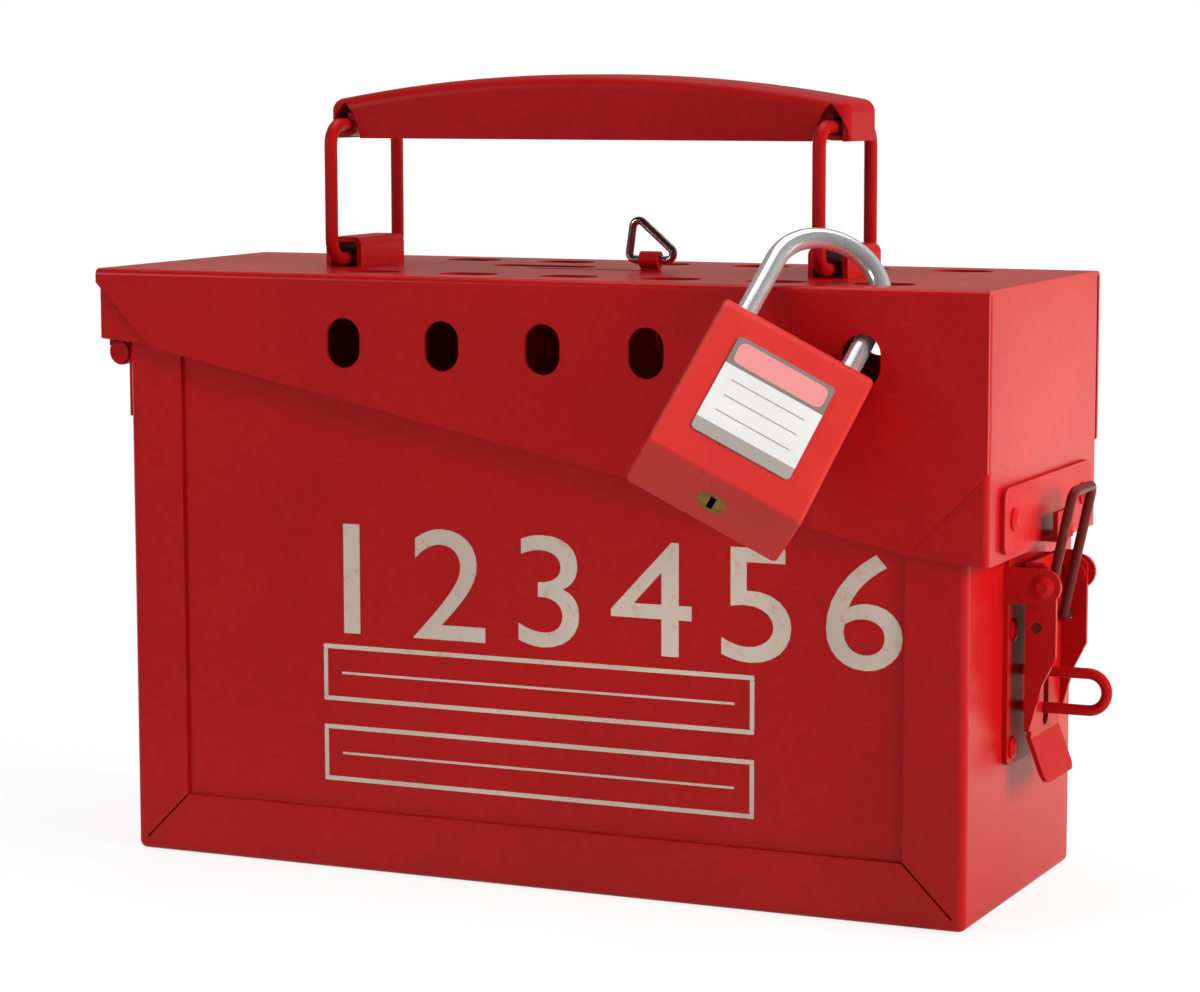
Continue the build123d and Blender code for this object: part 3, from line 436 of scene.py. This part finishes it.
ink, tree, ink_shader = start_material("print_ink", Roughness=0.5, Specular_IOR_Level=0.4)
place = coordinates(tree, "Object")
thin_spots = noise(tree, place, scale=260.0, detail=5.0, rough=0.7)
thin = ranged(tree, thin_spots, 0.56, 0.74, out_high=0.6)
fading = ranged(tree, noise(tree, place, scale=25.0, detail=2.0), 0.3, 0.7)
faded = blended(tree, fading, INK_PALE, INK_FADED)
tree.links.new(blended(tree, thin, faded, INK_WORN), ink_shader.inputs["Base Color"])
grain = noise(tree, place, scale=900.0, detail=2.0)
add_relief(tree, ink_shader, grain, strength=0.08, distance=0.0002)


def print_piece(name, mesh):
    mesh.materials.append(ink)
    piece = place_object(name, mesh)
    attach(piece, "box")


def digit_mesh(text):
    """The outline of a digit as a thin closed mesh in the XZ plane, its middle at the origin."""
    curve = bpy.data.curves.new("digit", "FONT")
    curve.body = text
    curve.size = 1.0
    curve.extrude = 0.02
    curve.resolution_u = 6
    holder = place_object("digit", curve)
    bpy.context.view_layer.update()
    solid = holder.evaluated_get(bpy.context.evaluated_depsgraph_get())
    mesh = bpy.data.meshes.new_from_object(solid)
    bpy.data.objects.remove(holder)
    xs, ys, zs = zip(*(vertex.co for vertex in mesh.vertices))
    scale = DIGIT_HEIGHT / (max(ys) - min(ys))
    widened = scale * DIGIT_WIDENING
    thinned = INK_THICKNESS / (max(zs) - min(zs))
    middle_x, middle_y, back_z = (max(xs) + min(xs)) / 2, (max(ys) + min(ys)) / 2, min(zs)
    for vertex in mesh.vertices:
        x, y, z = vertex.co
        vertex.co = ((x - middle_x) * widened, -(z - back_z) * thinned, (y - middle_y) * scale)
    return mesh


for number in range(1, HOLE_COUNT + 1):
    mesh = digit_mesh(str(number))
    hole_x = FIRST_HOLE + HOLE_PITCH * (number - 1)
    for vertex in mesh.vertices:
        vertex.co += Vector((hole_x, PANEL_FACE, DIGIT_MIDDLE))
    print_piece(f"number_{number}", mesh)

STRIP_LEFT = -56.0 * MM
STRIP_RIGHT = 58.0 * MM
FRAME_LINE = 1.1 * MM
STRIP_LINE_INSET = 5.0 * MM
STRIP_LINE_HALF = 0.3 * MM
BAR_ROUNDING = 0.3
CORNER_STEPS = 3


def bar(shape, x0, x1, z0, z1):
    """A thin printed bar on the panel's face, with its corners slightly rounded."""
    radius = min(x1 - x0, z1 - z0) * BAR_ROUNDING
    left, right = x0 + radius, x1 - radius
    bottom, top = z0 + radius, z1 - radius
    ring = []
    for quarter, (x, z) in enumerate(((right, top), (left, top), (left, bottom), (right, bottom))):
        for step in range(CORNER_STEPS + 1):
            angle = (quarter + step / CORNER_STEPS) * pi / 2
            ring.append((x + radius * cos(angle), z + radius * sin(angle)))
    back = [shape.verts.new((x, PANEL_FACE, z)) for x, z in ring]
    front = [shape.verts.new((x, PANEL_FACE - INK_THICKNESS, z)) for x, z in ring]
    shape.faces.new(front)
    shape.faces.new(list(reversed(back)))
    count = len(ring)
    for i in range(count):
        j = (i + 1) % count
        shape.faces.new((back[i], back[j], front[j], front[i]))


for name, strip_low, strip_high in (("strip_upper", 42.0, 56.0), ("strip_lower", 22.0, 36.0)):
    z0, z1 = strip_low * MM, strip_high * MM
    inner_z0, inner_z1 = z0 + FRAME_LINE, z1 - FRAME_LINE
    middle = (z0 + z1) / 2
    line_left, line_right = STRIP_LEFT + STRIP_LINE_INSET, STRIP_RIGHT - STRIP_LINE_INSET
    shape = bmesh.new()
    bar(shape, STRIP_LEFT, STRIP_RIGHT, z0, inner_z0)
    bar(shape, STRIP_LEFT, STRIP_RIGHT, inner_z1, z1)
    bar(shape, STRIP_LEFT, STRIP_LEFT + FRAME_LINE, inner_z0, inner_z1)
    bar(shape, STRIP_RIGHT - FRAME_LINE, STRIP_RIGHT, inner_z0, inner_z1)
    bar(shape, line_left, line_right, middle - STRIP_LINE_HALF, middle + STRIP_LINE_HALF)
    bmesh.ops.recalc_face_normals(shape, faces=shape.faces)
    mesh = bpy.data.meshes.new(name)
    shape.to_mesh(mesh)
    shape.free()
    print_piece(name, mesh)
